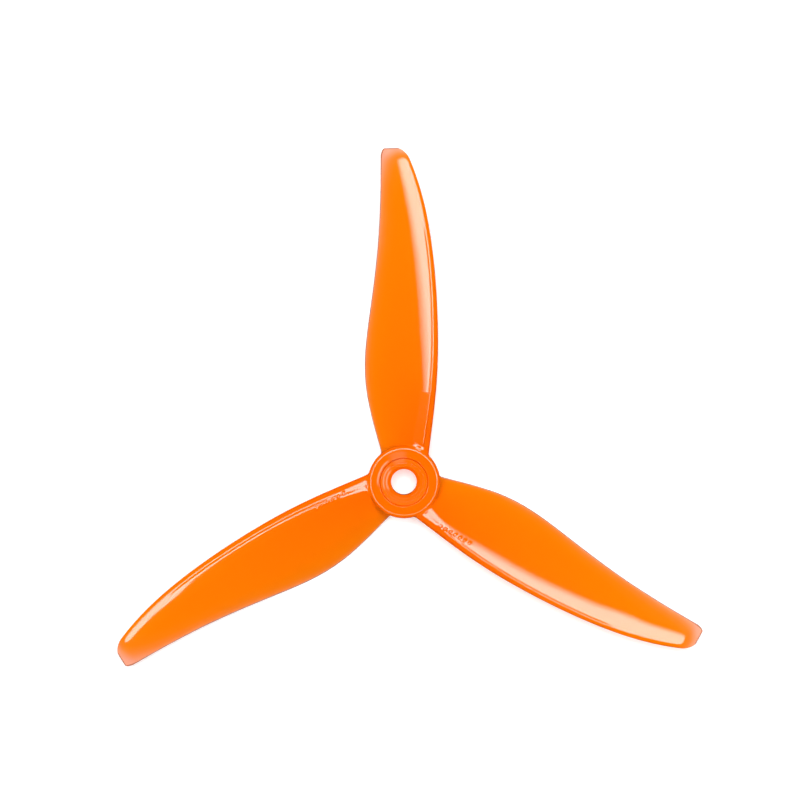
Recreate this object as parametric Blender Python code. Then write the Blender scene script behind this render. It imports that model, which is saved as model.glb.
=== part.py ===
"""Three-blade clockwise propeller for a 5 inch racing drone, moulded in clear orange plastic.

Metres, +Z up along the spin axis. The origin is on that axis, in the plane of the hub's lower face,
which sits on the motor. Blade 1 points along +Y, and the leading edges face clockwise from above.
"""

import math

import bmesh
import bpy
import numpy as np

MM = 0.001

# Driving dimensions
PROP_DIAMETER = 129.5 * MM
HUB_DIAMETER = 14.0 * MM
HUB_HEIGHT = 6.8 * MM
BORE_DIAMETER = 5.0 * MM
BLADE_COUNT = 3
FIRST_BLADE_ANGLE = 90.0
JOINT_GAP = 0.3 * MM

# Hub details
HUB_TOP_ROUND = 0.7 * MM
HUB_BOTTOM_CHAMFER = 0.25 * MM
RECESS_RADIUS = 4.75 * MM
SEAT_RADIUS = 4.45 * MM
SEAT_DEPTH = 0.55 * MM
BORE_LEAD_IN = 0.6 * MM
BORE_BOTTOM_CHAMFER = 0.3 * MM

# Blade twist, height and section
HELIX_PITCH = 130.0 * MM
STEEPEST_TWIST = math.radians(25.0)
MID_CHORD_HEIGHT = 3.7 * MM
ROOT_THICKNESS = 2.8 * MM
TIP_THICKNESS = 0.8 * MM
THICKNESS_FALL = 0.8
TRAILING_EDGE_THICKNESS = 0.5 * MM
CAMBER = 0.055
NOSE_LENGTH = 1.3 * MM
ROOT_NOSE_LENGTH = 2.8 * MM
ROOT_NOSE_REACH = 4.0 * MM
ROOT_FILLET = 1.2 * MM

# Blade outline seen from above, in mm: station radius, leading edge and trailing edge, each measured
# sideways from the blade's own centre line, with the leading edge positive
OUTLINE_MM = (
    (7.0, 4.7, -4.3),
    (12.0, 5.4, -5.75),
    (18.0, 6.1, -7.2),
    (24.0, 6.5, -7.65),
    (32.0, 6.5, -6.85),
    (40.0, 6.05, -5.75),
    (48.0, 5.1, -4.95),
    (56.0, 3.4, -4.55),
    (61.0, 1.75, -4.5),
    (64.75, 0.2, -4.5),
)
LEADING_CORNER = (2.2 * MM, 1.6 * MM)
TRAILING_CORNER = (1.7 * MM, 0.75 * MM)
TIP_EDGE_ROUND = 0.5 * MM
TIP_EDGE_LEAST = 0.3

# Fineness of the facets
HUB_STEPS = 72
ARC_STEPS = 4
STATIONS = 24
FILLET_SHARES = (0.0, 0.2, 0.5)
SECTION_STEPS = 12

PLASTIC_COLOUR = (1.0, 0.2, 0.005, 1.0)
PLASTIC_ROUGHNESS = 0.15

TIP_RADIUS = PROP_DIAMETER / 2
HUB_RADIUS = HUB_DIAMETER / 2
BORE_RADIUS = BORE_DIAMETER / 2
BLADE_ROOT_RADIUS = HUB_RADIUS + JOINT_GAP


def clear_scene():
    for obj in list(bpy.data.objects):
        bpy.data.objects.remove(obj)


def plastic(name):
    """Orange plastic for one sub-part."""
    material = bpy.data.materials.new(name)
    material.use_nodes = True
    shader = material.node_tree.nodes["Principled BSDF"]
    shader.inputs["Base Color"].default_value = PLASTIC_COLOUR
    shader.inputs["Roughness"].default_value = PLASTIC_ROUGHNESS
    shader.inputs["Metallic"].default_value = 0.0
    return material


def add_object(name, bm):
    """Turns bm into a named object with outward normals and its own plastic."""
    bmesh.ops.recalc_face_normals(bm, faces=bm.faces)
    mesh = bpy.data.meshes.new(name)
    bm.to_mesh(mesh)
    bm.free()
    mesh.shade_smooth()
    mesh.set_sharp_from_angle(angle=math.radians(35.0))
    mesh.materials.append(plastic(name + "_plastic"))
    obj = bpy.data.objects.new(name, mesh)
    bpy.context.scene.collection.objects.link(obj)
    return obj


def smooth_curve(knots, values):
    """Natural cubic spline through the knots, as a function of one number."""
    knots = np.array(knots)
    values = np.array(values)
    count = len(knots)
    gaps = np.diff(knots)
    slopes = np.diff(values) / gaps
    matrix = np.eye(count)
    right = np.zeros(count)
    for i in range(1, count - 1):
        matrix[i, i - 1 : i + 2] = gaps[i - 1], 2 * (gaps[i - 1] + gaps[i]), gaps[i]
        right[i] = 6 * (slopes[i] - slopes[i - 1])
    bends = np.linalg.solve(matrix, right)

    def at(x):
        i = int(np.clip(np.searchsorted(knots, x) - 1, 0, count - 2))
        before = x - knots[i]
        after = knots[i + 1] - x
        curved = bends[i] * after**3 + bends[i + 1] * before**3
        start = (values[i] / gaps[i] - bends[i] * gaps[i] / 6) * after
        end = (values[i + 1] / gaps[i] - bends[i + 1] * gaps[i] / 6) * before
        return float(curved / (6 * gaps[i]) + start + end)

    return at


leading_line = smooth_curve([row[0] * MM for row in OUTLINE_MM], [row[1] * MM for row in OUTLINE_MM])
trailing_line = smooth_curve([row[0] * MM for row in OUTLINE_MM], [row[2] * MM for row in OUTLINE_MM])


def quarter_round(distance, corner):
    """How far a corner rounded over (length, depth) has turned in, at this distance from the tip."""
    length, depth = corner
    share = min(max(1 - distance / length, 0.0), 1.0)
    return depth * (1 - math.sqrt(1 - share**2))


def edges_at(radius):
    """Sideways places of the leading and the trailing edge."""
    left = TIP_RADIUS - radius
    leading = leading_line(radius) - quarter_round(left, LEADING_CORNER)
    trailing = trailing_line(radius) + quarter_round(left, TRAILING_CORNER)
    return leading, trailing


def twist_slope(radius):
    """Rise of the chord for each metre sideways: a helix outboard, held to the steepest twist inboard."""
    helix = 2 * math.pi * radius / HELIX_PITCH
    return 1 / math.hypot(helix, 1 / math.tan(STEEPEST_TWIST))


def thickness_at(radius):
    """Greatest thickness: falls along the span, flares into the hub and rounds off at the tip."""
    share = (radius - HUB_RADIUS) / (TIP_RADIUS - HUB_RADIUS)
    full = ROOT_THICKNESS - (ROOT_THICKNESS - TIP_THICKNESS) * share**THICKNESS_FALL
    edge = 1 - min((TIP_RADIUS - radius) / TIP_EDGE_ROUND, 1.0)
    flare = quarter_round(radius - HUB_RADIUS, (ROOT_FILLET, ROOT_FILLET))
    return full * max(math.sqrt(1 - edge**2), TIP_EDGE_LEAST) + 2 * flare


def nose_length_at(radius):
    """The round nose is longest at the root, where it runs into the hub's rim."""
    return NOSE_LENGTH + (ROOT_NOSE_LENGTH - NOSE_LENGTH) * math.exp((HUB_RADIUS - radius) / ROOT_NOSE_REACH)


def half_thickness(share, nose, thickness):
    """Elliptic nose, then a smooth taper to the trailing edge. share runs from 0 at the nose to 1."""
    if share < nose:
        return thickness / 2 * math.sqrt(1 - (1 - share / nose) ** 2)
    tail = min(TRAILING_EDGE_THICKNESS / thickness, 0.7)
    aft = (share - nose) / (1 - nose)
    return thickness / 2 * (1 - (1 - tail) * aft**1.5)


def section_loop(radius):
    """One closed blade section, over the top from nose to tail and back underneath.

    The root section is wrapped on the hub's cylinder. The wrap eases out until the tip section is flat.
    """
    leading, trailing = edges_at(radius)
    slope = twist_slope(radius)
    chord = (leading - trailing) * math.hypot(1, slope)
    thickness = thickness_at(radius)
    nose = min(nose_length_at(radius) / chord, 0.5)
    along = (math.cos(math.atan(slope)), math.sin(math.atan(slope)))
    middle = (leading + trailing) / 2
    wrap = (TIP_RADIUS - radius) / (TIP_RADIUS - HUB_RADIUS)

    def place(share, side):
        camber = 4 * CAMBER * chord * share * (1 - share)
        off = camber + side * half_thickness(share, nose, thickness)
        run = (0.5 - share) * chord
        sideways = middle + run * along[0] - off * along[1]
        up = MID_CHORD_HEIGHT + run * along[1] + off * along[0]
        hollow = radius - math.sqrt(radius**2 - sideways**2)
        return radius - wrap * hollow, -sideways, up

    shares = [(1 - math.cos(math.pi * i / SECTION_STEPS)) / 2 for i in range(SECTION_STEPS + 1)]
    top = [place(share, 1) for share in shares]
    under = [place(share, -1) for share in shares[1:]]
    return top + under[::-1]


def cap(bm, loop):
    """Closes an end section with strips from its top to its underside, so that it keeps its curve."""
    nose, top, under = loop[0], loop[1 : SECTION_STEPS + 1], loop[:SECTION_STEPS:-1]
    bm.faces.new((nose, top[0], under[0]))
    for i in range(SECTION_STEPS - 1):
        bm.faces.new((top[i], top[i + 1], under[i + 1], under[i]))


def station_radii():
    """Radii from root to tip: a few through the fillet, then closer together towards the tip."""
    fillet_end = HUB_RADIUS + ROOT_FILLET
    span = TIP_RADIUS - fillet_end
    turns = [math.pi / 2 * i / (STATIONS - 1) for i in range(STATIONS)]
    fillet = [BLADE_ROOT_RADIUS + share * (fillet_end - BLADE_ROOT_RADIUS) for share in FILLET_SHARES]
    return fillet + [fillet_end + span * math.sin(turn) for turn in turns]


def build_blade(number):
    bm = bmesh.new()
    loops = []
    for radius in station_radii():
        loops.append([bm.verts.new(point) for point in section_loop(radius)])
    for inner, outer in zip(loops, loops[1:]):
        for i in range(len(inner)):
            j = (i + 1) % len(inner)
            bm.faces.new((inner[i], inner[j], outer[j], outer[i]))
    cap(bm, loops[0])
    cap(bm, loops[-1])
    blade = add_object(f"blade_{number}", bm)
    blade.rotation_euler.z = math.radians(FIRST_BLADE_ANGLE - (number - 1) * 360 / BLADE_COUNT)
    return blade


def arc(centre, radius, start, end):
    """Points of an arc in the hub's profile plane, with angles in degrees."""
    angles = [math.radians(start + (end - start) * i / ARC_STEPS) for i in range(ARC_STEPS + 1)]
    return [(centre[0] + radius * math.cos(a), centre[1] + radius * math.sin(a)) for a in angles]


def hub_profile():
    """Radius and height of the hub's section, from the bore's foot out and round to its mouth."""
    seat_height = HUB_HEIGHT - SEAT_DEPTH
    shoulder = (HUB_RADIUS - HUB_TOP_ROUND, HUB_HEIGHT - HUB_TOP_ROUND)
    return [
        (BORE_RADIUS, BORE_BOTTOM_CHAMFER),
        (BORE_RADIUS + BORE_BOTTOM_CHAMFER, 0.0),
        (HUB_RADIUS - HUB_BOTTOM_CHAMFER, 0.0),
        (HUB_RADIUS, HUB_BOTTOM_CHAMFER),
        *arc(shoulder, HUB_TOP_ROUND, 0, 90),
        (RECESS_RADIUS, HUB_HEIGHT),
        (SEAT_RADIUS, seat_height),
        (BORE_RADIUS + BORE_LEAD_IN, seat_height),
        (BORE_RADIUS, seat_height - BORE_LEAD_IN),
    ]


def build_hub():
    """The profile spun round the bore's axis."""
    bm = bmesh.new()
    verts = [bm.verts.new((radius, 0.0, height)) for radius, height in hub_profile()]
    edges = [bm.edges.new((a, b)) for a, b in zip(verts, verts[1:] + verts[:1])]
    bmesh.ops.spin(
        bm,
        geom=verts + edges,
        axis=(0, 0, 1),
        cent=(0, 0, 0),
        angle=2 * math.pi,
        steps=HUB_STEPS,
        use_merge=True,
    )
    return add_object("hub", bm)


def main():
    clear_scene()
    build_hub()
    for number in range(1, BLADE_COUNT + 1):
        build_blade(number)


main()
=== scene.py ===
"""The looks of a three-blade racing-drone propeller: one glossy moulding in clear orange plastic.

Metres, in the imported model's frame: +Z up along the spin axis, blade 1 along +Y. Shapes are worked out
in millimetres and scaled once, in add_piece(). The hub and the blades are separate pieces that share
their edges, so that together they make one closed skin, as the real moulding does.
"""

import math

import bmesh
import bpy
import numpy as np
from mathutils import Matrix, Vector, geometry


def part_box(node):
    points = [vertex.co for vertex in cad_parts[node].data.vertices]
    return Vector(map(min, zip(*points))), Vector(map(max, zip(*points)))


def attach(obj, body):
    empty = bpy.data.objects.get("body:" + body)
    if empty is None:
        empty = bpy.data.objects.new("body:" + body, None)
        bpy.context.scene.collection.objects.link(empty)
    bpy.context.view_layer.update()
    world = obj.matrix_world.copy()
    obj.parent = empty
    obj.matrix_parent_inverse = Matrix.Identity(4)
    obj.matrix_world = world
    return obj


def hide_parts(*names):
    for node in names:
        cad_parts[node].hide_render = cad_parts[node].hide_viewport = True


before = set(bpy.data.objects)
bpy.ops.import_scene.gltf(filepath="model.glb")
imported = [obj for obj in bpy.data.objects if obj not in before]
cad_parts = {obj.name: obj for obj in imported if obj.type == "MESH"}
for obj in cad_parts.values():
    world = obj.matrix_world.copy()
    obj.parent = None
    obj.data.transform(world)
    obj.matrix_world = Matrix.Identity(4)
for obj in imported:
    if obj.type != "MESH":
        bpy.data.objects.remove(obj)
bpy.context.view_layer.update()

MM = 0.001

# Sizes from the frame, in millimetres. The tips stop just short of the frame's box.
HUB_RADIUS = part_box("hub")[1].x / MM
HUB_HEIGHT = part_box("hub")[1].z / MM
TIP_CLEARANCE = 0.035
TIP_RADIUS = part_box("blade_1")[1].y / MM - TIP_CLEARANCE
BLADE_COUNT = 3
FIRST_BLADE_ANGLE = 90.0

# Hub section: corners as (radius, height, rounding), from the bore's foot round to its mouth
BORE_RADIUS = 2.5
BORE_FOOT_BEVEL = 0.3
WALL_FOOT_BEVEL = 0.25
RIM_ROUND = 0.7
RECESS_MOUTH_RADIUS = 4.75
RECESS_RADIUS = 4.45
SEAT_HEIGHT = HUB_HEIGHT - 0.55
GROOVE_OUTSIDE = (3.95, 3.85)
GROOVE_INSIDE = (3.6, 3.7)
GROOVE_FLOOR = SEAT_HEIGHT - 0.06
LEAD_IN = 0.6
HUB_CORNERS = (
    (BORE_RADIUS, BORE_FOOT_BEVEL, 0.08),
    (BORE_RADIUS + BORE_FOOT_BEVEL, 0.0, 0.08),
    (HUB_RADIUS - WALL_FOOT_BEVEL, 0.0, 0.1),
    (HUB_RADIUS, WALL_FOOT_BEVEL, 0.1),
    (HUB_RADIUS, HUB_HEIGHT, RIM_ROUND),
    (RECESS_MOUTH_RADIUS, HUB_HEIGHT, 0.12),
    (RECESS_RADIUS, SEAT_HEIGHT, 0.08),
    (GROOVE_OUTSIDE[0], SEAT_HEIGHT, 0.04),
    (GROOVE_OUTSIDE[1], GROOVE_FLOOR, 0.04),
    (GROOVE_INSIDE[1], GROOVE_FLOOR, 0.04),
    (GROOVE_INSIDE[0], SEAT_HEIGHT, 0.04),
    (BORE_RADIUS + LEAD_IN, SEAT_HEIGHT, 0.08),
    (BORE_RADIUS, SEAT_HEIGHT - LEAD_IN, 0.1),
)

# The part of the hub's skin that the blades cut into: above this height and outside this radius
PATCH_FOOT = 0.42
PATCH_INNER_RADIUS = 5.3

# Blade: the same outline, twist and section as the CAD blade. Outline rows are (radius, how far the
# leading edge lies to one side of the blade's middle line, and the trailing edge to the other).
OUTLINE = (
    (7.0, 4.7, -4.3),
    (12.0, 5.4, -5.75),
    (18.0, 6.1, -7.2),
    (24.0, 6.5, -7.65),
    (32.0, 6.5, -6.85),
    (40.0, 6.05, -5.75),
    (48.0, 5.1, -4.95),
    (56.0, 3.4, -4.55),
    (61.0, 1.75, -4.5),
    (64.75, 0.2, -4.5),
)
LEADING_CORNER = (2.2, 1.6)
TRAILING_CORNER = (1.7, 0.75)
TIP_EDGE_ROUND = 0.25
TIP_EDGE_TURN = math.radians(80.0)
HELIX_PITCH = 130.0
STEEPEST_TWIST = math.radians(25.0)
MID_CHORD_HEIGHT = 3.7
ROOT_THICKNESS = 2.8
TIP_THICKNESS = 0.8
THICKNESS_FALL = 0.8
THINNING_POWER = 1.5
TRAILING_EDGE_THICKNESS = 0.5
TRAILING_EDGE_MOST = 0.7
TRAILING_EDGE_ROUND = 0.35
CAMBER = 0.055
NOSE_LENGTH = 1.3
ROOT_NOSE_LENGTH = 2.8
ROOT_NOSE_REACH = 4.0
NOSE_MOST = 0.5

# Moulded relief on the blade's upper side: a bead along the leading edge, and a bevel at the tip
BEAD_STEP = 0.2
BEAD_FLANK = (0.55, 1.1)
BEAD_SPAN = (18.0, 45.0)
BEAD_FADE = (7.5, 9.0)
TIP_BEVEL_LENGTH = 2.2
TIP_BEVEL_DEPTH = 0.6
TIP_BEVEL_CREASE = 1.4
TIP_BEVEL_EASING = 6
TIP_LEAST_THICKNESS = 0.2

# Where a maker would put a mark: a plain raised pad on blade 1, and a row of pips on the other two
PAD_SPAN = (8.0, 17.8)
PAD_PLACE = (0.5, 2.75)
PAD_TILT = math.radians(17.0)
PAD_EDGE = 0.2
# A faint scuff on the pad, which also paints a faint highlight on it
PAD_SCUFF_AND_HIGHLIGHT = 0.01
PIP_ROWS = (None, (11.0, 17.2, 7), (11.8, 17.4, 6))
PIP_PLACE = 0.95
PIP_DRIFT = 0.13
PIP_RADIUS = 0.42
PIP_TOP = 0.35
PIP_HEIGHT = 0.15

# Where a nut has scuffed the hub's top, with a painted highlight on the scuffs, and beside them a faint
# smear that is only a painted reflection: inner and outer radius, from and to azimuth, amount
SCUFF_AND_HIGHLIGHT_PLACES = (
    (3.3, 3.5, 140.0, 205.0, 0.8),
    (3.85, 4.1, 135.0, 200.0, 0.7),
    (4.9, 5.15, 128.0, 185.0, 0.8),
    (3.6, 5.9, 88.0, 118.0, 0.15),
)
SCUFF_AND_HIGHLIGHT_SOFTNESS = 0.2
SCUFF_AND_HIGHLIGHT_FADE = 14.0
SCUFF_AND_HIGHLIGHT_LOWEST = HUB_HEIGHT - 1

# Depth of plastic that the colour shows, in millimetres: the hub's, and the drop at tips and edges. On
# the edges' rounding it falls to nothing, which paints a thin line of shade
HUB_DEPTH = 4.5
BEVEL_DEPTH_SHARE = 0.3
TIP_PALENESS = 0.28
TIP_PALENESS_REACH = 3.0
LEAST_DEPTH = 0.34
EDGE_SHADE_SHARPNESS = 6

# The fillet where a blade leaves the hub. Beyond the plain radius a blade is clear of it.
FILLET = 0.5
SEAM_DISTANCE = FILLET / 4
SEAM_LEAST_RADIUS = 6.0
PLAIN_RADIUS = 11.0
SEAM_PASSES = 40
FILLET_PASSES = 20
FILLET_DEEPENING = 4

# Fineness of the mesh: steps round a section's nose, body and tail, then rows, then the hub
TOP_STEPS = (40, 34, 5)
UNDER_STEPS = (14, 28, 5)
FRONT_CROWDING = 1.3
ROOT_ROWS = 18
ROOT_CROWDING = 1.6
FILLET_RINGS = (0.08, 0.18, 0.3, 0.45, 0.6, 0.75)
ROW_SPACING = 0.7
ROW_LEAST_GAP = 0.004
MARK_ROW_SPACING = 0.08
MARK_MARGIN = 0.05
PAD_EDGE_ROWS = 6
CORNER_MARGIN = 0.3
CORNER_ROWS = 18
TIP_EDGE_ROWS = 9
SECTOR_STEPS = 48
PATCH_CLEARANCE = 0.09
PATCH_TOLERANCE = 1e-7
ROUNDING_STEP = 0.05
PROFILE_STEP = 0.25
FINE_STEP = 0.01
ON_PROFILE = 0.012
WELD_DISTANCE = 0.0005
SLIVER_SIZE = 0.0001


# ---- Blade surface ----


def smooth_curve(knots, values):
    """Natural cubic spline through the knots."""
    knots = np.array(knots)
    values = np.array(values)
    count = len(knots)
    gaps = np.diff(knots)
    slopes = np.diff(values) / gaps
    matrix = np.eye(count)
    right = np.zeros(count)
    for i in range(1, count - 1):
        matrix[i, i - 1 : i + 2] = gaps[i - 1], 2 * (gaps[i - 1] + gaps[i]), gaps[i]
        right[i] = 6 * (slopes[i] - slopes[i - 1])
    bends = np.linalg.solve(matrix, right)

    def at(x):
        i = np.clip(np.searchsorted(knots, x) - 1, 0, count - 2)
        before = x - knots[i]
        after = knots[i + 1] - x
        curved = bends[i] * after**3 + bends[i + 1] * before**3
        start = (values[i] / gaps[i] - bends[i] * gaps[i] / 6) * after
        end = (values[i + 1] / gaps[i] - bends[i + 1] * gaps[i] / 6) * before
        return curved / (6 * gaps[i]) + start + end

    return at


leading_line = smooth_curve([row[0] for row in OUTLINE], [row[1] for row in OUTLINE])
trailing_line = smooth_curve([row[0] for row in OUTLINE], [row[2] for row in OUTLINE])


def quarter_round(distance, corner):
    """How far a corner rounded over (length, depth) has turned in, at this distance from its end."""
    length, depth = corner
    share = np.clip(1 - distance / length, 0, 1)
    return depth * (1 - np.sqrt(1 - share**2))


def smooth_step(x, low, high):
    """0 below low, 1 above high, and an easing curve between them."""
    share = np.clip((x - low) / (high - low), 0, 1)
    return share * share * (3 - 2 * share)


def window(x, low, high, edge):
    """1 between low and high, easing to 0 over the edge's width, which is centred on each limit."""
    half = edge / 2
    return smooth_step(x, low - half, low + half) * (1 - smooth_step(x, high - half, high + half))


def twist_slope(radius):
    """Slope of the chord: a helix, held below the steepest twist near the hub."""
    helix = 2 * math.pi * radius / HELIX_PITCH
    return 1 / np.hypot(helix, 1 / math.tan(STEEPEST_TWIST))


def thickness_at(radius):
    """Greatest thickness of the section."""
    share = np.clip((radius - HUB_RADIUS) / (TIP_RADIUS - HUB_RADIUS), 0, 1)
    return ROOT_THICKNESS - (ROOT_THICKNESS - TIP_THICKNESS) * share**THICKNESS_FALL


def relief(radius, along):
    """How far the upper side lies below the plain section. along is in mm from the nose."""
    start, end = BEAD_SPAN
    begun = smooth_step(radius, start - BEAD_FADE[0], start)
    ended = smooth_step(radius, end, end + BEAD_FADE[1])
    return BEAD_STEP * begun * (1 - ended) * smooth_step(along, *BEAD_FLANK)


def on_pad(radius, along):
    """1 on the flat pad and 0 off it, with narrow sloping edges."""
    return window(radius, *PAD_SPAN, PAD_EDGE) * window(along, *PAD_PLACE, PAD_EDGE)


def pips(radius, along, row):
    """How far a row of small domes stands up. row is (first radius, last radius, count)."""
    first, last, count = row
    gap = (last - first) / (count - 1)
    nearest = first + gap * np.clip(np.round((radius - first) / gap), 0, count - 1)
    middle = PIP_PLACE + PIP_DRIFT * (radius - first)
    share = np.hypot(radius - nearest, along - middle) / PIP_RADIUS
    return PIP_HEIGHT * (1 - smooth_step(share, PIP_TOP, 1.0))


def tip_bevel(radius):
    """How much of the thickness the bevel at the tip would take away from a thick blade."""
    past = radius - (TIP_RADIUS - TIP_BEVEL_LENGTH)
    eased = np.clip(past + TIP_BEVEL_CREASE / 2, 0, TIP_BEVEL_CREASE) ** 2 / (2 * TIP_BEVEL_CREASE)
    return TIP_BEVEL_DEPTH / TIP_BEVEL_LENGTH * (eased + np.maximum(past - TIP_BEVEL_CREASE / 2, 0))


def along_section(radius, run, chord):
    """Share of the chord behind the nose, share of the body behind the nose's rounding, and how far the
    nose and the tail have filled out: from 0 at the edge to 1 where the rounding ends."""
    nose_growth = (ROOT_NOSE_LENGTH - NOSE_LENGTH) * np.exp((HUB_RADIUS - radius) / ROOT_NOSE_REACH)
    nose = np.minimum((NOSE_LENGTH + nose_growth) / chord, NOSE_MOST)
    tail = TRAILING_EDGE_ROUND / chord
    on_nose = np.clip(run, 0, 1) * math.pi / 2
    on_body = np.clip(run - 1, 0, 1) ** FRONT_CROWDING
    on_tail = np.clip(run - 2, 0, 1) * math.pi / 2
    share = nose * (1 - np.cos(on_nose)) + (1 - tail - nose) * on_body + tail * np.sin(on_tail)
    aft = np.clip((share - nose) / (1 - nose), 0, 1)
    return share, aft, np.sin(on_nose), np.cos(on_tail)


def camber_line(along, chord):
    """Height of the section's middle line above its chord."""
    return 4 * CAMBER * along * (1 - along / chord)


def marked_top(off, radius, along, chord, slope, blade):
    """The upper side with this blade's mark added, and how scuffed it is there: a faint scuff that also
    paints a faint highlight on the pad.
    """
    if blade is None:
        return off, 0.0
    if PIP_ROWS[blade] is not None:
        return off + pips(radius, along, PIP_ROWS[blade]), 0.0
    far = PAD_PLACE[1]
    level = camber_line(far, chord) + thickness_at(radius) / 2 - relief(radius, far)
    level = level + (math.tan(PAD_TILT) - slope) * (far - along)
    cover = on_pad(radius, along)
    return off + cover * (level - off), PAD_SCUFF_AND_HIGHLIGHT * cover


def depth_with_edge_shade(radius, uncut, cut, edge_round):
    """Depth of plastic that the colour shows: less at the tip, and next to none on the edges' rounding,
    which paints a thin darker line of shade there."""
    paleness = TIP_PALENESS * np.exp((radius - TIP_RADIUS) / TIP_PALENESS_REACH)
    depth = np.maximum(uncut - BEVEL_DEPTH_SHARE * cut - paleness, LEAST_DEPTH)
    # Painted shade: the depth falls to nothing on the edges' rounding, so a thin darker line is painted
    # there
    return depth * edge_round**EDGE_SHADE_SHARPNESS


def section_point(radius, run, side, blade=None):
    """Points of the blade along +X, the plastic's depth there, which paints a thin line of shade on the
    edges' rounding, and how scuffed the surface is, with its painted highlight.

    run goes from 0 at the nose to 3 at the tail, one unit each for the round nose, the body and the round
    tail. side is 1 for the upper and -1 for the lower surface. blade says whose mark to add, if any.
    """
    left = TIP_RADIUS - radius
    leading = leading_line(radius) - quarter_round(left, LEADING_CORNER)
    trailing = trailing_line(radius) + quarter_round(left, TRAILING_CORNER)
    slope = twist_slope(radius)
    cosine = 1 / np.hypot(1, slope)
    sine = slope * cosine
    chord = (leading - trailing) / cosine
    share, aft, nose_round, tail_round = along_section(radius, run, chord)
    thickness = thickness_at(radius)
    blunt = np.minimum(TRAILING_EDGE_THICKNESS / thickness, TRAILING_EDGE_MOST)
    uncut = thickness * (1 - (1 - blunt) * aft**THINNING_POWER)
    bevel = tip_bevel(radius)
    limit = uncut - TIP_LEAST_THICKNESS
    cut = bevel / (1 + (bevel / limit) ** TIP_BEVEL_EASING) ** (1 / TIP_BEVEL_EASING)
    tip_round = np.sqrt(1 - (1 - np.clip(left / TIP_EDGE_ROUND, 0, 1)) ** 2)
    full = nose_round * tail_round
    along = share * chord
    bare = camber_line(along, chord) - full * cut / 2 + side * full * (uncut - cut) / 2 * tip_round
    top, scuff_and_highlight = marked_top(bare - relief(radius, along), radius, along, chord, slope, blade)
    off = np.where(side > 0, top, bare)
    ahead = chord / 2 - along
    sideways = (leading + trailing) / 2 + ahead * cosine - off * sine
    height = MID_CHORD_HEIGHT + ahead * sine + off * cosine
    wrap = left / (TIP_RADIUS - HUB_RADIUS)
    hollow = radius - np.sqrt(radius**2 - sideways**2)
    points = np.stack([radius - wrap * hollow, -sideways, height], -1)
    return points, depth_with_edge_shade(radius, uncut, cut, tail_round * tip_round), np.where(side > 0, scuff_and_highlight, 0)


def loop_parameters():
    """run and side round one section: over the top from nose to tail, and back underneath."""

    def runs(steps):
        nose, body, tail = steps
        parts = [np.arange(nose) / nose, 1 + np.arange(body) / body, 2 + np.arange(tail + 1) / tail]
        return np.concatenate(parts)

    top = runs(TOP_STEPS)
    under = runs(UNDER_STEPS)[1:-1][::-1]
    return np.concatenate([top, under]), np.concatenate([np.ones(len(top)), -np.ones(len(under))])


loop_run, loop_side = loop_parameters()
LOOP = len(loop_run)
CORE_RUN = 1.3


def section_normal(radius, index):
    """Outward normals, square to the blade's length, of the bare section at these loop places. They are
    turned to point away from the section's core."""
    ahead = (index + 1) % LOOP
    behind = (index - 1) % LOOP
    tangent = section_point(radius, loop_run[ahead], loop_side[ahead])[0]
    tangent = tangent - section_point(radius, loop_run[behind], loop_side[behind])[0]
    normal = np.stack([np.zeros(len(index)), tangent[:, 2], -tangent[:, 1]], -1)
    normal = normal / np.linalg.norm(normal, axis=1, keepdims=True)
    centre = section_point(radius, np.full(len(index), CORE_RUN), np.zeros(len(index)))[0]
    place = section_point(radius, loop_run[index], loop_side[index])[0]
    inward = np.sum(normal * (place - centre), axis=1).sum() < 0
    return -normal if inward else normal


# ---- Hub surface ----


def rounded_profile(corners, step):
    """Closed outline with every corner rounded: arrays of (radius, height) and of outward normals."""
    points = []
    normals = []
    count = len(corners)
    for i in range(count):
        before, here, after = (np.array(corners[j % count][:2]) for j in (i - 1, i, i + 1))
        start = (before - here) / np.linalg.norm(before - here)
        end = (after - here) / np.linalg.norm(after - here)
        half_angle = math.acos(np.clip(start @ end, -1, 1)) / 2
        bisector = (start + end) / np.linalg.norm(start + end)
        rounding = corners[i][2]
        centre = here + bisector * rounding / math.sin(half_angle)
        turn = math.pi - 2 * half_angle
        first = here + start * rounding / math.tan(half_angle) - centre
        convex = start[0] * end[1] - start[1] * end[0] < 0
        way = 1 if convex else -1
        steps = max(4, math.ceil(rounding * turn / step))
        for k in range(steps + 1):
            angle = way * turn * k / steps
            spoke = np.array(
                [
                    first[0] * math.cos(angle) - first[1] * math.sin(angle),
                    first[0] * math.sin(angle) + first[1] * math.cos(angle),
                ]
            )
            points.append(centre + spoke)
            normals.append(way * spoke / rounding)
    return np.array(points), np.array(normals)


def fill_straights(points, normals, longest):
    """Adds points along the straight runs between two roundings, so that no run is longer than this."""
    filled = []
    filled_normals = []
    for i in range(len(points)):
        here, after = points[i], points[(i + 1) % len(points)]
        pieces = max(1, math.ceil(np.linalg.norm(after - here) / longest))
        for k in range(pieces):
            filled.append(here + (after - here) * k / pieces)
            filled_normals.append(normals[i])
    return np.array(filled), np.array(filled_normals)


coarse_profile, _ = fill_straights(*rounded_profile(HUB_CORNERS, ROUNDING_STEP), PROFILE_STEP)
fine_profile, fine_normals = fill_straights(*rounded_profile(HUB_CORNERS, FINE_STEP), FINE_STEP)
fine_steps = np.linalg.norm(np.diff(fine_profile, axis=0), axis=1)
fine_length = np.concatenate([[0], np.cumsum(fine_steps)])


def nearest_fine(points):
    """Index of the fine profile's point nearest to each (radius, height) point."""
    return np.argmin(np.linalg.norm(points[:, None, :] - fine_profile[None], axis=2), axis=1)


profile = fine_profile[nearest_fine(coarse_profile)]


def profile_place(points):
    """Distance along the fine profile of the profile point nearest to each (radius, height) point."""
    return fine_length[nearest_fine(points)]


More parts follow.
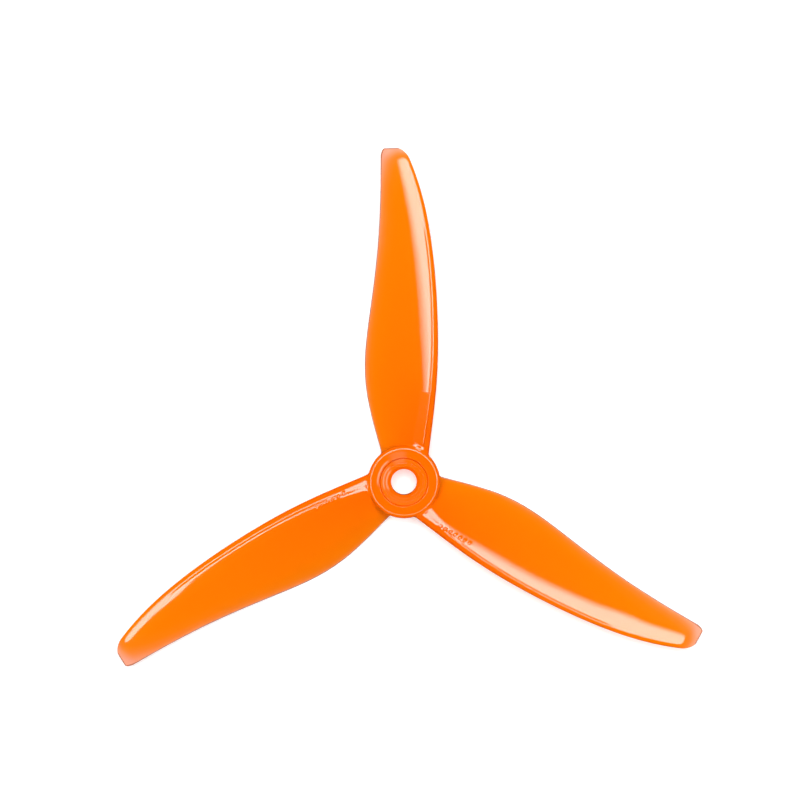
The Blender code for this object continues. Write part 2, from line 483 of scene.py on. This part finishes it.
def hub_surface(across, up):
    """Points and normals of the bare hub: across is an arc length at the wall, up one on the profile."""
    angle = across / HUB_RADIUS
    columns = (*fine_profile.T, *fine_normals.T)
    radius, height, normal_out, normal_up = [np.interp(up, fine_length, column) for column in columns]
    points = np.stack([radius * np.cos(angle), radius * np.sin(angle), height], -1)
    normals = np.stack([normal_out * np.cos(angle), normal_out * np.sin(angle), normal_up], -1)
    return points, normals / np.linalg.norm(normals, axis=1, keepdims=True)


def hub_distance(points):
    """Distance from the hub's rounded outside, ignoring what is cut into its top."""
    out = np.hypot(points[:, 0], points[:, 1]) - (HUB_RADIUS - RIM_ROUND)
    up = points[:, 2] - (HUB_HEIGHT - RIM_ROUND)
    outside = np.hypot(np.maximum(out, 0), np.maximum(up, 0))
    return outside + np.minimum(np.maximum(out, up), 0) - RIM_ROUND


def fillet_rise(distance):
    """How far the fillet stands off one wall, at this distance from the other."""
    share = np.clip(distance / FILLET, 0, 1)
    return FILLET * (1 - np.sqrt(share)) ** 2


# ---- One third of the moulding ----


def seam_radii(index):
    """Station radius at which each line along the blade meets the middle of its fillet."""
    low = np.full(LOOP, SEAM_LEAST_RADIUS)
    high = np.full(LOOP, PLAIN_RADIUS)
    for _ in range(SEAM_PASSES):
        middle = (low + high) / 2
        points = section_point(middle, loop_run, loop_side)[0]
        raised = points + SEAM_DISTANCE * section_normal(middle, index)
        inside = hub_distance(raised) < SEAM_DISTANCE
        low = np.where(inside, middle, low)
        high = np.where(inside, high, middle)
    return (low + high) / 2


def root_rows(blade):
    """Rows of (points, depth, scuff with its painted highlight) from the fillet's middle out to where the
    blade is plain.
    """
    index = np.arange(LOOP)
    start = seam_radii(index)
    rows = []
    for k in range(ROOT_ROWS + 1):
        radius = start + (PLAIN_RADIUS - start) * (k / ROOT_ROWS) ** ROOT_CROWDING
        points, depth, scuff_and_highlight = section_point(radius, loop_run, loop_side, blade)
        normal = section_normal(radius, index)
        rise = np.full(LOOP, SEAM_DISTANCE)
        if k > 0:
            rise = np.zeros(LOOP)
            for _ in range(FILLET_PASSES):
                rise = (rise + fillet_rise(hub_distance(points + rise[:, None] * normal))) / 2
        rows.append((points + rise[:, None] * normal, depth + FILLET_DEEPENING * rise, scuff_and_highlight))
    return rows


def outer_rows(blade):
    """Rows from the plain radius to the tip, closer together round the marks and at the tip."""
    corner_start = LEADING_CORNER[0] + CORNER_MARGIN
    body = np.arange(PLAIN_RADIUS + CORNER_MARGIN, TIP_RADIUS - corner_start, ROW_SPACING)
    if PIP_ROWS[blade] is None:
        mark = PAD_SPAN[1] + PAD_EDGE * np.linspace(-0.5, 0.5, PAD_EDGE_ROWS)
    else:
        first, last, _ = PIP_ROWS[blade]
        mark = np.arange(first - PIP_RADIUS, last + PIP_RADIUS, MARK_ROW_SPACING)
        mark = mark[mark > PLAIN_RADIUS + MARK_MARGIN]
        body = body[(body < mark[0] - MARK_MARGIN) | (body > mark[-1] + MARK_MARGIN)]
    corner = TIP_RADIUS - np.linspace(corner_start, TIP_EDGE_ROUND, CORNER_ROWS)
    turn = np.linspace(0, TIP_EDGE_TURN, TIP_EDGE_ROWS)[1:]
    edge = TIP_RADIUS - TIP_EDGE_ROUND * (1 - np.sin(turn))
    radii = np.sort(np.concatenate([body, mark, corner, edge]))
    keep = np.concatenate([[True], np.diff(radii) > ROW_LEAST_GAP])
    return [section_point(np.full(LOOP, radius), loop_run, loop_side, blade) for radius in radii[keep]]


def end_faces(row):
    """Triangles that close a section's end, zipped from nose to tail between its two sides."""
    tail = sum(TOP_STEPS)
    upper = list(range(tail + 1))
    lower = [0, *range(LOOP - 1, tail, -1), tail]
    faces = []
    i = 0
    j = 0
    while i < tail or j < len(lower) - 1:
        next_upper = loop_run[upper[i + 1]] if i < tail else math.inf
        next_lower = loop_run[lower[j + 1]] if j < len(lower) - 1 else math.inf
        if next_upper <= next_lower:
            face = (upper[i], upper[i + 1], lower[j])
            i += 1
        else:
            face = (upper[i], lower[j + 1], lower[j])
            j += 1
        if len(set(face)) == 3:
            faces.append(tuple(row[list(face)]))
    return faces


def loop_normals(loop):
    """Outward normals of a closed loop of points in a plane."""
    tangent = np.roll(loop, -1, axis=0) - np.roll(loop, 1, axis=0)
    normal = np.stack([tangent[:, 1], -tangent[:, 0]], -1)
    normal = normal / np.linalg.norm(normal, axis=1, keepdims=True)
    area = np.sum(loop[:, 0] * np.roll(loop[:, 1], -1) - loop[:, 1] * np.roll(loop[:, 0], -1))
    return normal if area > 0 else -normal


def inside_loop(points, loop):
    """Which points lie inside a closed loop in a plane."""
    found = np.zeros(len(points), bool)
    for a, b in zip(loop, np.roll(loop, -1, axis=0)):
        if a[1] == b[1]:
            continue
        crosses = (a[1] > points[:, 1]) != (b[1] > points[:, 1])
        across = (b[0] - a[0]) * (points[:, 1] - a[1]) / (b[1] - a[1])
        found ^= crosses & (points[:, 0] < a[0] + across)
    return found


def to_unrolled(points):
    """Hub places, as (arc length at the wall, length on the profile), under these points."""
    radius = np.hypot(points[:, 0], points[:, 1])
    across = np.arctan2(points[:, 1], points[:, 0]) * HUB_RADIUS
    return np.stack([across, profile_place(np.stack([radius, points[:, 2]], -1))], -1)


def hub_rings(seam):
    """The hub's half of the fillet: loops round the blade that spread from the seam over the hub."""
    foot = to_unrolled(seam)
    outward = loop_normals(foot)
    rings = []
    flat = foot
    for share in FILLET_RINGS:
        flat = foot + share * FILLET * outward
        points, normals = hub_surface(flat[:, 0], flat[:, 1])
        rise = fillet_rise(np.full(LOOP, SEAM_DISTANCE + share * FILLET))
        rings.append(points + rise[:, None] * normals)
    return rings, flat


def patch_rows():
    """Which profile points make the hub's outer skin, from near its foot up over the rounded rim."""
    outer = (profile[:, 1] > PATCH_FOOT) & (profile[:, 0] > PATCH_INNER_RADIUS)
    return np.nonzero(outer)[0]


def hub_patch(hole):
    """The hub's outer skin over one third of a turn, with a hole for the blade and its fillet."""
    rows = patch_rows()
    heights = profile_place(profile[rows])
    columns = np.linspace(-math.pi / 3, math.pi / 3, SECTOR_STEPS + 1) * HUB_RADIUS
    grid = np.array([(across, up) for up in heights for across in columns])
    gap = np.min(np.linalg.norm(grid[:, None, :] - hole[None], axis=2), axis=1)
    grid = grid[~inside_loop(grid, hole) & (gap > PATCH_CLEARANCE)]
    flat = np.concatenate([hole, grid])
    ring_edges = [(i, (i + 1) % LOOP) for i in range(LOOP)]
    coordinates = [Vector(point) for point in flat.tolist()]
    # Type 0 fills the whole outline with triangles, and those over the hole are left out below
    found = geometry.delaunay_2d_cdt(coordinates, ring_edges, [], 0, PATCH_TOLERANCE, False)
    flat = np.array([tuple(point) for point in found[0]])
    triangles = np.array([face for face in found[2] if len(face) == 3])
    middles = flat[triangles].mean(axis=1)
    return hub_surface(flat[:, 0], flat[:, 1])[0], triangles[~inside_loop(middles, hole)]


def turned(points, angle):
    """Points turned about the bore's axis."""
    cosine, sine = math.cos(angle), math.sin(angle)
    x = points[:, 0] * cosine - points[:, 1] * sine
    y = points[:, 0] * sine + points[:, 1] * cosine
    return np.stack([x, y, points[:, 2]], -1)


def nut_scuffs_and_highlights(points):
    """How scuffed the hub's top is, with its painted highlight: arcs where a nut has turned, whose pale
    colour is partly wear and partly a painted highlight, and a faint smear beside them that is a painted
    reflection.
    """
    radius = np.hypot(points[:, 0], points[:, 1])
    azimuth = np.degrees(np.arctan2(points[:, 1], points[:, 0])) % 360
    wear = np.zeros(len(points))
    for low, high, start, end, amount in SCUFF_AND_HIGHLIGHT_PLACES:
        ring = window(radius, low, high, SCUFF_AND_HIGHLIGHT_SOFTNESS)
        wear = np.maximum(wear, amount * ring * window(azimuth, start, end, SCUFF_AND_HIGHLIGHT_FADE))
    return wear * (points[:, 2] > SCUFF_AND_HIGHLIGHT_LOWEST)


class Moulding:
    """Collects the moulding's points, with depth and scuff with its painted highlight, and its faces,
    each with its piece.
    """

    def __init__(self):
        self.points = []
        self.depths = []
        self.scuffs_and_highlights = []
        self.faces = []
        self.pieces = []
        self.count = 0

    def add_points(self, points, depth, scuff_and_highlight=0.0):
        self.points.append(points)
        self.depths.append(np.broadcast_to(depth, len(points)))
        self.scuffs_and_highlights.append(np.broadcast_to(scuff_and_highlight, len(points)))
        self.count += len(points)
        return np.arange(self.count - len(points), self.count)

    def add_faces(self, faces, piece):
        self.faces.extend(faces)
        self.pieces.extend([piece] * len(faces))

    def bridge(self, inner, outer, piece, closed):
        """Quads between two rows of points."""
        last = len(inner) if closed else len(inner) - 1
        pairs = [(i, (i + 1) % len(inner)) for i in range(last)]
        self.add_faces([(inner[i], inner[j], outer[j], outer[i]) for i, j in pairs], piece)


def add_blade(moulding, third, angle):
    """One blade with its own half of the fillet, closed at the tip."""
    before = None
    for points, depth, scuff_and_highlight in root_rows(third) + outer_rows(third):
        row = moulding.add_points(turned(points, angle), depth, scuff_and_highlight)
        if before is not None:
            moulding.bridge(before, row, third + 1, True)
        before = row
    moulding.add_faces(end_faces(before), third + 1)


def add_fillet(moulding, seam, seam_depth, rings, angle):
    """The hub's half of a blade's fillet. Its colour deepens from the blade's to the hub's."""
    before = moulding.add_points(turned(seam, angle), seam_depth)
    for ring, points in enumerate(rings):
        depth = seam_depth + (HUB_DEPTH - seam_depth) * (ring + 1) / len(rings)
        row = moulding.add_points(turned(points, angle), depth)
        moulding.bridge(row, before, 0, True)
        before = row


def rest_of_profile():
    """Profile points that the patch leaves out: over the top, down the bore and out along the foot."""
    rest = np.setdiff1d(np.arange(len(profile)), patch_rows()[1:-1])
    split = int(np.nonzero(np.diff(rest) > 1)[0][0]) + 1
    return np.concatenate([rest[split:], rest[:split]])


def add_lathed_hub(moulding, angle):
    """One third of a turn of the hub's top, bore and foot."""
    columns = np.linspace(-math.pi / 3, math.pi / 3, SECTOR_STEPS + 1) + angle
    before = None
    for place in rest_of_profile():
        radius, height = profile[place]
        heights = np.full(len(columns), height)
        points = np.stack([radius * np.cos(columns), radius * np.sin(columns), heights], -1)
        row = moulding.add_points(points, HUB_DEPTH, nut_scuffs_and_highlights(points))
        if before is not None:
            moulding.bridge(before, row, 0, False)
        before = row


def build_moulding():
    """The whole skin. Piece 0 is the hub and pieces 1 to 3 are the blades."""
    moulding = Moulding()
    seam, seam_depth, _ = root_rows(None)[0]
    rings, hole = hub_rings(seam)
    patch_points, patch_faces = hub_patch(hole)
    for third in range(BLADE_COUNT):
        angle = math.radians(FIRST_BLADE_ANGLE - third * 360 / BLADE_COUNT)
        add_blade(moulding, third, angle)
        add_fillet(moulding, seam, seam_depth, rings, angle)
        skin = turned(patch_points, angle)
        patch = moulding.add_points(skin, HUB_DEPTH, nut_scuffs_and_highlights(skin))
        moulding.add_faces([tuple(patch[list(face)]) for face in patch_faces], 0)
        add_lathed_hub(moulding, angle)
    return moulding


def welded_mesh(moulding):
    """The moulding as one closed bmesh with shared points, each face knowing its piece."""
    bm = bmesh.new()
    depth_layer = bm.verts.layers.float.new("depth")
    scuff_and_highlight_layer = bm.verts.layers.float.new("scuff_and_highlight")
    piece_layer = bm.faces.layers.int.new("piece")
    points = np.concatenate(moulding.points).tolist()
    depths = np.concatenate(moulding.depths).tolist()
    scuffs_and_highlights = np.concatenate(moulding.scuffs_and_highlights).tolist()
    verts = []
    for point, depth, scuff_and_highlight in zip(points, depths, scuffs_and_highlights):
        vert = bm.verts.new(point)
        vert[depth_layer] = depth
        vert[scuff_and_highlight_layer] = scuff_and_highlight
        verts.append(vert)
    for corners, owner in zip(moulding.faces, moulding.pieces):
        face = bm.faces.new([verts[i] for i in corners])
        face[piece_layer] = owner
        face.smooth = True
    bmesh.ops.remove_doubles(bm, verts=bm.verts, dist=WELD_DISTANCE)
    bmesh.ops.dissolve_degenerate(bm, dist=SLIVER_SIZE, edges=bm.edges)
    bmesh.ops.recalc_face_normals(bm, faces=bm.faces)
    return bm


def shading_normals(mesh):
    """Normals of the welded skin, exact wherever a point lies on the hub's own profile."""
    count = len(mesh.vertices)
    points = np.empty(count * 3)
    mesh.vertices.foreach_get("co", points)
    points = points.reshape(-1, 3)
    normals = np.empty(count * 3, np.float32)
    mesh.vertex_normals.foreach_get("vector", normals)
    normals = normals.reshape(-1, 3)
    radius = np.hypot(points[:, 0], points[:, 1])
    near = np.nonzero(radius < HUB_RADIUS + ON_PROFILE)[0]
    flat = np.stack([radius[near], points[near, 2]], -1)
    gaps = np.linalg.norm(flat[:, None, :] - fine_profile[None], axis=2)
    closest = np.argmin(gaps, axis=1)
    exact = gaps[np.arange(len(near)), closest] < ON_PROFILE
    near = near[exact]
    out, up = fine_normals[closest[exact]].T
    spokes = points[near, :2] / radius[near, None]
    normals[near] = np.stack([out * spokes[:, 0], out * spokes[:, 1], up], -1)
    return normals


def add_piece(name, whole, normals, piece, material, node):
    """Makes one piece from its faces of the whole skin, with the whole skin's normals."""
    owner = np.empty(len(whole.polygons), np.int32)
    whole.attributes["piece"].data.foreach_get("value", owner)
    chosen = [tuple(whole.polygons[int(i)].vertices) for i in np.nonzero(owner == piece)[0]]
    used = sorted({index for face in chosen for index in face})
    place = {index: number for number, index in enumerate(used)}
    mesh = bpy.data.meshes.new(name)
    points = [tuple(whole.vertices[index].co * MM) for index in used]
    mesh.from_pydata(points, [], [tuple(place[index] for index in face) for face in chosen])
    mesh.shade_smooth()
    for kind in ("depth", "scuff_and_highlight"):
        values = np.empty(len(whole.vertices), np.float32)
        whole.attributes[kind].data.foreach_get("value", values)
        mesh.attributes.new(kind, "FLOAT", "POINT").data.foreach_set("value", values[used])
    mesh.normals_split_custom_set_from_vertices(normals[used].tolist())
    mesh.materials.append(material)
    obj = bpy.data.objects.new(name, mesh)
    bpy.context.scene.collection.objects.link(obj)
    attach(obj, "root")
    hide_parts(node)
    return obj


# ---- Material ----

GLOSS_ROUGHNESS = 0.06
SCUFF_ROUGHNESS = 0.3
# The scuffs' pale colour: partly the whitening of wear, partly a painted highlight
SCUFF_AND_HIGHLIGHT_COLOUR = (1.0, 0.45, 0.24, 1.0)
SCUFF_AND_HIGHLIGHT_WHITENING = 0.7
HAIRLINE_ROUGHNESS = 0.05
HAIRLINE_LIMITS = (0.58, 0.75)
HAIRLINE_SCALE = 260.0
HAIRLINE_DETAIL = 2
HAIRLINE_STRETCH = (1, 12, 1)
RIPPLE_HEIGHT = 0.006
RIPPLE_SCALE = 300.0
RIPPLE_DETAIL = 2
FLOW_SHARE = 0.12
FLOW_SCALE = 90.0
FLOW_DETAIL = 3
REFRACTIVE_INDEX = 1.58
TRANSMISSION = 0.3

# The plastic's colour by the depth of it that shows, in millimetres. The first, darkest stop is painted
# shade, for the thin line on the edges' rounding
DEPTH_COLOURS = (
    (0.26, (0.5, 0.16, 0.07)),
    (0.3, (1.0, 0.42, 0.27)),
    (0.35, (1.0, 0.42, 0.27)),
    (0.5, (1.0, 0.32, 0.12)),
    (0.56, (1.0, 0.275, 0.06)),
    (0.62, (1.0, 0.245, 0.025)),
    (0.72, (1.0, 0.228, 0.004)),
    (0.9, (1.0, 0.216, 0.0)),
    (1.2, (1.0, 0.203, 0.0)),
    (1.6, (1.0, 0.19, 0.0)),
    (2.7, (1.0, 0.152, 0.0)),
    (4.4, (1.0, 0.142, 0.0)),
)


class Plastic:
    """Clear orange polycarbonate: deep orange where it is thick and paler where it is thin. A thin darker
    line on the edges' rounding is painted shade, and the pale scuffs on the hub's top carry a painted
    highlight. The moulded skin is slightly uneven, with flow marks in the colour and hairline marks in
    the gloss."""

    def __init__(self):
        self.material = bpy.data.materials.new("clear_orange_polycarbonate")
        self.material.use_nodes = True
        self.nodes = self.material.node_tree.nodes
        self.links = self.material.node_tree.links
        self.shader = self.nodes["Principled BSDF"]
        self.place = self.nodes.new("ShaderNodeTexCoord").outputs["Object"]
        self.scuff_and_highlight = self.attribute("scuff_and_highlight")
        self.links.new(self.colour(), self.shader.inputs["Base Color"])
        self.links.new(self.roughness(), self.shader.inputs["Roughness"])
        self.links.new(self.ripples(), self.shader.inputs["Normal"])
        self.shader.inputs["IOR"].default_value = REFRACTIVE_INDEX
        self.shader.inputs["Transmission Weight"].default_value = TRANSMISSION

    def attribute(self, name):
        """One number that the mesh holds for each point."""
        node = self.nodes.new("ShaderNodeAttribute")
        node.attribute_name = name
        return node.outputs["Fac"]

    def noise(self, scale, detail, stretch=(1, 1, 1)):
        """Smooth noise over the object's own coordinates, finer along an axis that is stretched."""
        shape = self.nodes.new("ShaderNodeMapping")
        shape.inputs["Scale"].default_value = stretch
        noise = self.nodes.new("ShaderNodeTexNoise")
        noise.inputs["Scale"].default_value = scale
        noise.inputs["Detail"].default_value = detail
        self.links.new(self.place, shape.inputs["Vector"])
        self.links.new(shape.outputs["Vector"], noise.inputs["Vector"])
        return noise.outputs["Fac"]

    def math(self, operation, first, second):
        """Two values put together. Each is a socket or a plain number."""
        node = self.nodes.new("ShaderNodeMath")
        node.operation = operation
        for socket, value in zip(node.inputs, (first, second)):
            if isinstance(value, float):
                socket.default_value = value
            else:
                self.links.new(value, socket)
        return node.outputs["Value"]

    def spread(self, value, to_low, to_high, from_limits=(0.0, 1.0)):
        """A value that lies between two limits, moved to lie between two others."""
        node = self.nodes.new("ShaderNodeMapRange")
        node.inputs["From Min"].default_value = from_limits[0]
        node.inputs["From Max"].default_value = from_limits[1]
        node.inputs["To Min"].default_value = to_low
        node.inputs["To Max"].default_value = to_high
        self.links.new(value, node.inputs["Value"])
        return node.outputs["Result"]

    def colour(self):
        """Colour by depth, uneven along the flow marks, darkest in the painted shade line on the edges'
        rounding, and paler where the surface is scuffed, partly as wear and partly as a painted
        highlight.
        """
        ramp = self.nodes.new("ShaderNodeValToRGB")
        stops = ramp.color_ramp.elements
        for number, (depth, colour) in enumerate(DEPTH_COLOURS):
            stop = stops.new(depth / HUB_DEPTH) if number else stops[0]
            stop.position = depth / HUB_DEPTH
            stop.color = (*colour, 1)
        stops.remove(stops[len(stops) - 1])
        flow = self.noise(FLOW_SCALE, FLOW_DETAIL)
        share = self.spread(flow, (1 - FLOW_SHARE) / HUB_DEPTH, (1 + FLOW_SHARE) / HUB_DEPTH)
        self.links.new(self.math("MULTIPLY", self.attribute("depth"), share), ramp.inputs["Fac"])
        # Mixes in the scuffs' pale colour, partly wear and partly a painted highlight
        mix = self.nodes.new("ShaderNodeMixRGB")
        mix.inputs["Color2"].default_value = SCUFF_AND_HIGHLIGHT_COLOUR
        self.links.new(self.math("MULTIPLY", self.scuff_and_highlight, SCUFF_AND_HIGHLIGHT_WHITENING), mix.inputs["Fac"])
        self.links.new(ramp.outputs["Color"], mix.inputs["Color1"])
        return mix.outputs["Color"]

    def roughness(self):
        """Glossy, but duller where the surface is scuffed and along faint hairlines."""
        base = self.spread(self.scuff_and_highlight, GLOSS_ROUGHNESS, SCUFF_ROUGHNESS)
        lines = self.noise(HAIRLINE_SCALE, HAIRLINE_DETAIL, HAIRLINE_STRETCH)
        return self.math("ADD", base, self.spread(lines, 0.0, HAIRLINE_ROUGHNESS, HAIRLINE_LIMITS))

    def ripples(self):
        """The very slight waviness of a moulded skin."""
        bump = self.nodes.new("ShaderNodeBump")
        bump.inputs["Strength"].default_value = 1.0
        bump.inputs["Distance"].default_value = RIPPLE_HEIGHT * MM
        self.links.new(self.noise(RIPPLE_SCALE, RIPPLE_DETAIL), bump.inputs["Height"])
        return bump.outputs["Normal"]


# ---- Stage, lights and camera, in metres ----

FRAME_WIDTH = 0.1551
CAMERA_HEIGHT = 0.7
FOCUS_HEIGHT = 0.004
VIEW_CENTRE = (-0.00076, 0.01586)
SENSOR_WIDTH = 36.0
CLIP_LIMITS = (0.01, 20)
CAMERA_BODY_RADIUS = 0.14
CAMERA_BODY_SHIFT = -0.06
CAMERA_BODY_GAP = 0.02
CAMERA_BODY_SIDES = 48
SOFTBOX_CENTRE = (0.0, 0.11)
SOFTBOX_HEIGHT = 1.0
SOFTBOX_RADIUS = 0.52
SOFTBOX_RADIANCE = 8.7
SOFTBOX_STEPS = 4
SOFTBOX_SPACING = 0.004
SOFTBOX_FADE = 0.18
SOFTBOX_FADE_TO = math.radians(120.0)
FLOOR_REACH = 4
FLOOR_WHITE = 0.85
FLOOR_ROUGHNESS = 0.9
FLOOR_GLOW = 0.26
FLOOR_GLOW_REACH = (0.1, 0.35)
WORLD_STRENGTH = 0.02


def stage_object(name, points, grey):
    """A flat, dull, grey polygon, part of the studio and not of the object, with its material's nodes and
    shader."""
    mesh = bpy.data.meshes.new(name)
    mesh.from_pydata(points, [], [tuple(range(len(points)))])
    material = bpy.data.materials.new(name + "_paint")
    material.use_nodes = True
    shader = material.node_tree.nodes["Principled BSDF"]
    shader.inputs["Base Color"].default_value = (grey, grey, grey, 1)
    shader.inputs["Specular IOR Level"].default_value = 0.0
    mesh.materials.append(material)
    obj = bpy.data.objects.new(name, mesh)
    bpy.context.scene.collection.objects.link(obj)
    return obj, material.node_tree, shader


def add_floor():
    """A white floor. It glows faintly round the object, as an overexposed background does."""
    reach = FLOOR_REACH
    corners = [(-reach, -reach, 0), (reach, -reach, 0), (reach, reach, 0), (-reach, reach, 0)]
    floor, tree, shader = stage_object("floor", corners, FLOOR_WHITE)
    floor.visible_glossy = False
    shader.inputs["Roughness"].default_value = FLOOR_ROUGHNESS
    shader.inputs["Emission Color"].default_value = (1, 1, 1, 1)
    place = tree.nodes.new("ShaderNodeTexCoord")
    distance = tree.nodes.new("ShaderNodeVectorMath")
    distance.operation = "LENGTH"
    glow = tree.nodes.new("ShaderNodeMapRange")
    glow.interpolation_type = "SMOOTHSTEP"
    glow.inputs["From Min"].default_value = FLOOR_GLOW_REACH[0]
    glow.inputs["From Max"].default_value = FLOOR_GLOW_REACH[1]
    glow.inputs["To Min"].default_value = FLOOR_GLOW
    glow.inputs["To Max"].default_value = 0.0
    tree.links.new(place.outputs["Object"], distance.inputs[0])
    tree.links.new(distance.outputs["Value"], glow.inputs["Value"])
    tree.links.new(glow.outputs["Result"], shader.inputs["Emission Strength"])


def add_overhead_light():
    """A large round softbox, hanging flat over the table. It is built of nested discs that share their
    nearest edge, so that it fades out towards the top of the frame and ends crisply at the bottom."""
    for step in range(SOFTBOX_STEPS):
        radius = SOFTBOX_RADIUS - SOFTBOX_FADE * (step / (SOFTBOX_STEPS - 1) - 0.5) / 2
        shift = radius - SOFTBOX_RADIUS
        light = bpy.data.lights.new(f"softbox_{step + 1}", "AREA")
        light.shape = "DISK"
        light.size = 2 * radius
        # A flat light's power is pi times its radiance times its area
        light.energy = SOFTBOX_RADIANCE / SOFTBOX_STEPS * math.pi * math.pi * radius**2
        obj = bpy.data.objects.new(light.name, light)
        x = SOFTBOX_CENTRE[0] + shift * math.cos(SOFTBOX_FADE_TO)
        y = SOFTBOX_CENTRE[1] + shift * math.sin(SOFTBOX_FADE_TO)
        obj.location = (x, y, SOFTBOX_HEIGHT + step * SOFTBOX_SPACING)
        obj.visible_camera = False
        bpy.context.scene.collection.objects.link(obj)


def add_camera_body():
    """A black disc just above the lens: level faces mirror the camera itself, so they stay dark."""
    turns = [2 * math.pi * k / CAMERA_BODY_SIDES for k in range(CAMERA_BODY_SIDES)]
    points = [(CAMERA_BODY_RADIUS * math.cos(a), CAMERA_BODY_RADIUS * math.sin(a), 0) for a in turns]
    body = stage_object("camera_body", points, 0.0)[0]
    x, y = VIEW_CENTRE
    body.location = (x, y + CAMERA_BODY_SHIFT, CAMERA_HEIGHT + CAMERA_BODY_GAP)
    body.visible_camera = False


def add_world():
    """A very faint even light from all round."""
    world = bpy.data.worlds.new("studio")
    bpy.context.scene.world = world
    world.use_nodes = True
    background = world.node_tree.nodes["Background"]
    background.inputs["Color"].default_value = (1, 1, 1, 1)
    background.inputs["Strength"].default_value = WORLD_STRENGTH


def add_camera():
    """The photograph's view: straight down, with a long lens. Everything is in focus."""
    data = bpy.data.cameras.new("camera")
    data.sensor_width = SENSOR_WIDTH
    data.lens = SENSOR_WIDTH * (CAMERA_HEIGHT - FOCUS_HEIGHT) / FRAME_WIDTH
    data.clip_start, data.clip_end = CLIP_LIMITS
    camera = bpy.data.objects.new("camera", data)
    camera.location = (*VIEW_CENTRE, CAMERA_HEIGHT)
    bpy.context.scene.collection.objects.link(camera)
    bpy.context.scene.camera = camera


def main():
    """Makes the four pieces of the moulding, and then the studio round them."""
    bm = welded_mesh(build_moulding())
    whole = bpy.data.meshes.new("whole_moulding")
    bm.to_mesh(whole)
    bm.free()
    normals = shading_normals(whole)
    material = Plastic().material
    for piece, node in enumerate(["hub", "blade_1", "blade_2", "blade_3"]):
        add_piece("moulded_" + node, whole, normals, piece, material, node)
    bpy.data.meshes.remove(whole)
    add_floor()
    add_world()
    add_overhead_light()
    add_camera_body()
    add_camera()
    bpy.context.scene.view_settings.view_transform = "Standard"


main()
